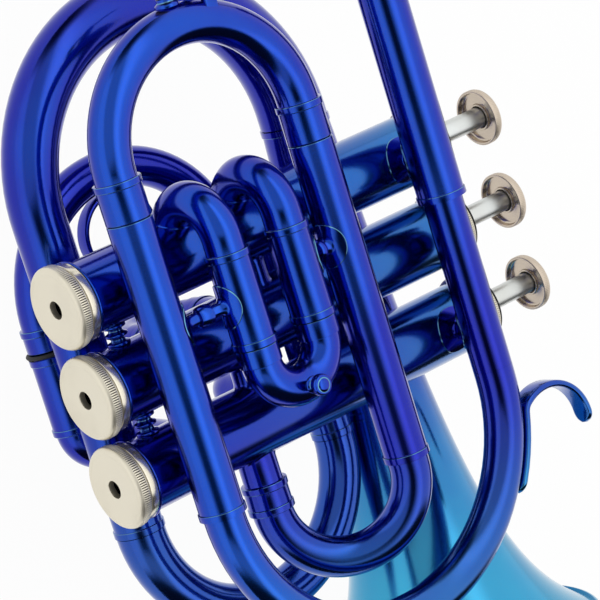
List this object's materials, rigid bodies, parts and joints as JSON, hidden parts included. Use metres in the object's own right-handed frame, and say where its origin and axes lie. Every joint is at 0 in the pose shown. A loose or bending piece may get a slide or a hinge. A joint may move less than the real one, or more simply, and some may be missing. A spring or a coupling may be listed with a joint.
{
  "type": "pocket trumpet",
  "caption": "Compact pocket trumpet: piston valves in a row, tightly wrapped lacquered tubing, pull-out tuning slides, a little-finger hook and a small flared bell.",
  "frame": {"origin": "the centre of the box in X and Y, at its lowest point in Z; the instrument lies on its left side", "axes": "+X forward to the bell's mouth, +Y up the valves to the finger buttons, +Z to the instrument's right, away from the surface it lies on"},
  "size_m": [0.301, 0.161, 0.1042],
  "materials": {
    "lacquered_brass": "transparent blue lacquer over bright metal, mirror gloss",
    "nickel_plate": "satin plated, warm white",
    "silver_plate": "bright plated",
    "bright_steel": "lapped, bright",
    "spring_steel": "drawn wire",
    "black_felt": "pressed wool felt",
    "black_rubber": "smooth",
    "white_nylon": "satin",
    "cork": "cut cork"
  },
  "bodies": {
    "instrument": {"valve_casing_1": "lacquered_brass", "valve_casing_2": "lacquered_brass", "valve_casing_3": "lacquered_brass", "valve_guide_1": "white_nylon", "valve_guide_2": "white_nylon", "valve_guide_3": "white_nylon", "valve_spring_1": "spring_steel", "valve_spring_2": "spring_steel", "valve_spring_3": "spring_steel", "main_slide_lower_sleeve": "lacquered_brass", "main_slide_upper_sleeve": "lacquered_brass", "leadpipe_bow": "lacquered_brass", "leadpipe": "lacquered_brass", "mouthpiece_receiver": "lacquered_brass", "front_crook": "lacquered_brass", "first_slide_lower_sleeve": "lacquered_brass", "first_slide_upper_sleeve": "lacquered_brass", "second_slide_lower_sleeve": "lacquered_brass", "second_slide_upper_sleeve": "lacquered_brass", "third_slide_lower_sleeve": "lacquered_brass", "third_slide_upper_sleeve": "lacquered_brass", "upper_bell_branch": "lacquered_brass", "bell_front_bow": "lacquered_brass", "lower_bell_branch": "lacquered_brass", "bell_rear_bow": "lacquered_brass", "bell": "lacquered_brass", "brace_main_to_first_slide": "lacquered_brass", "brace_first_slide_to_upper_sleeve": "lacquered_brass", "rear_leadpipe_brace": "lacquered_brass", "front_leadpipe_brace": "lacquered_brass", "little_finger_hook": "lacquered_brass"},
    "valve_1": {"piston_1": "bright_steel", "valve_stem_1": "bright_steel", "finger_button_1": "nickel_plate"},
    "valve_2": {"piston_2": "bright_steel", "valve_stem_2": "bright_steel", "finger_button_2": "nickel_plate"},
    "valve_3": {"piston_3": "bright_steel", "valve_stem_3": "bright_steel", "finger_button_3": "nickel_plate"},
    "top_cap_1": {"top_cap_1": "nickel_plate", "stem_felt_1": "black_felt"},
    "top_cap_2": {"top_cap_2": "nickel_plate", "stem_felt_2": "black_felt"},
    "top_cap_3": {"top_cap_3": "nickel_plate", "stem_felt_3": "black_felt"},
    "bottom_cap_1": {"bottom_cap_1": "nickel_plate"},
    "bottom_cap_2": {"bottom_cap_2": "nickel_plate"},
    "bottom_cap_3": {"bottom_cap_3": "nickel_plate"},
    "main_slide": {"main_tuning_slide": "lacquered_brass", "water_key_spring": "spring_steel"},
    "water_key": {"water_key_lever": "lacquered_brass", "water_key_cork": "cork"},
    "first_slide": {"first_slide_crook": "lacquered_brass", "first_slide_pull_knob": "lacquered_brass"},
    "second_slide": {"second_slide_crook": "lacquered_brass"},
    "third_slide": {"third_slide_crook": "lacquered_brass", "third_slide_o_ring": "black_rubber", "third_slide_finger_ring": "lacquered_brass"},
    "mouthpiece": {"mouthpiece": "silver_plate"}
  },
  "joints": [
    {"name": "valve_1_press", "type": "slide", "parent": "instrument", "child": "valve_1", "axis": [0, -1, 0], "range_m": [0, 0.016], "stiffness_N_per_m": 100, "springref_m": -0.015, "deforming": ["valve_spring_1"]},
    {"name": "valve_2_press", "type": "slide", "parent": "instrument", "child": "valve_2", "axis": [0, -1, 0], "range_m": [0, 0.016], "stiffness_N_per_m": 100, "springref_m": -0.015, "deforming": ["valve_spring_2"]},
    {"name": "valve_3_press", "type": "slide", "parent": "instrument", "child": "valve_3", "axis": [0, -1, 0], "range_m": [0, 0.016], "stiffness_N_per_m": 100, "springref_m": -0.015, "deforming": ["valve_spring_3"]},
    {"name": "top_cap_1_turn", "type": "hinge", "parent": "instrument", "child": "top_cap_1", "pos_m": [-0.00355, 0.0532, 0.0714], "axis": [0, 1, 0], "continuous": true},
    {"name": "top_cap_2_turn", "type": "hinge", "parent": "instrument", "child": "top_cap_2", "pos_m": [0.02245, 0.0532, 0.0714], "axis": [0, 1, 0], "continuous": true},
    {"name": "top_cap_3_turn", "type": "hinge", "parent": "instrument", "child": "top_cap_3", "pos_m": [0.04845, 0.0532, 0.0714], "axis": [0, 1, 0], "continuous": true},
    {"name": "bottom_cap_1_turn", "type": "hinge", "parent": "instrument", "child": "bottom_cap_1", "pos_m": [-0.00355, -0.075, 0.0714], "axis": [0, -1, 0], "continuous": true},
    {"name": "bottom_cap_2_turn", "type": "hinge", "parent": "instrument", "child": "bottom_cap_2", "pos_m": [0.02245, -0.075, 0.0714], "axis": [0, -1, 0], "continuous": true},
    {"name": "bottom_cap_3_turn", "type": "hinge", "parent": "instrument", "child": "bottom_cap_3", "pos_m": [0.04845, -0.075, 0.0714], "axis": [0, -1, 0], "continuous": true},
    {"name": "main_slide_pull", "type": "slide", "parent": "instrument", "child": "main_slide", "axis": [-1, 0, 0], "range_m": [0, 0.05]},
    {"name": "water_key_open", "type": "hinge", "parent": "main_slide", "child": "water_key", "pos_m": [-0.0768, -0.01845, 0.0904], "axis": [0, 0, -1], "range_deg": [0, 12], "stiffness_Nm_per_rad": 0.1, "springref_deg": -17.19},
    {"name": "first_slide_pull", "type": "slide", "parent": "instrument", "child": "first_slide", "axis": [1, 0, 0], "range_m": [0, 0.02]},
    {"name": "second_slide_pull", "type": "slide", "parent": "instrument", "child": "second_slide", "axis": [0, 0, -1], "range_m": [0, 0.012]},
    {"name": "third_slide_pull", "type": "slide", "parent": "instrument", "child": "third_slide", "axis": [-1, 0, 0], "range_m": [0, 0.016]},
    {"name": "mouthpiece_pull", "type": "slide", "parent": "instrument", "child": "mouthpiece", "axis": [-1, 0, 0], "range_m": [0, 0.022]}
  ]
}
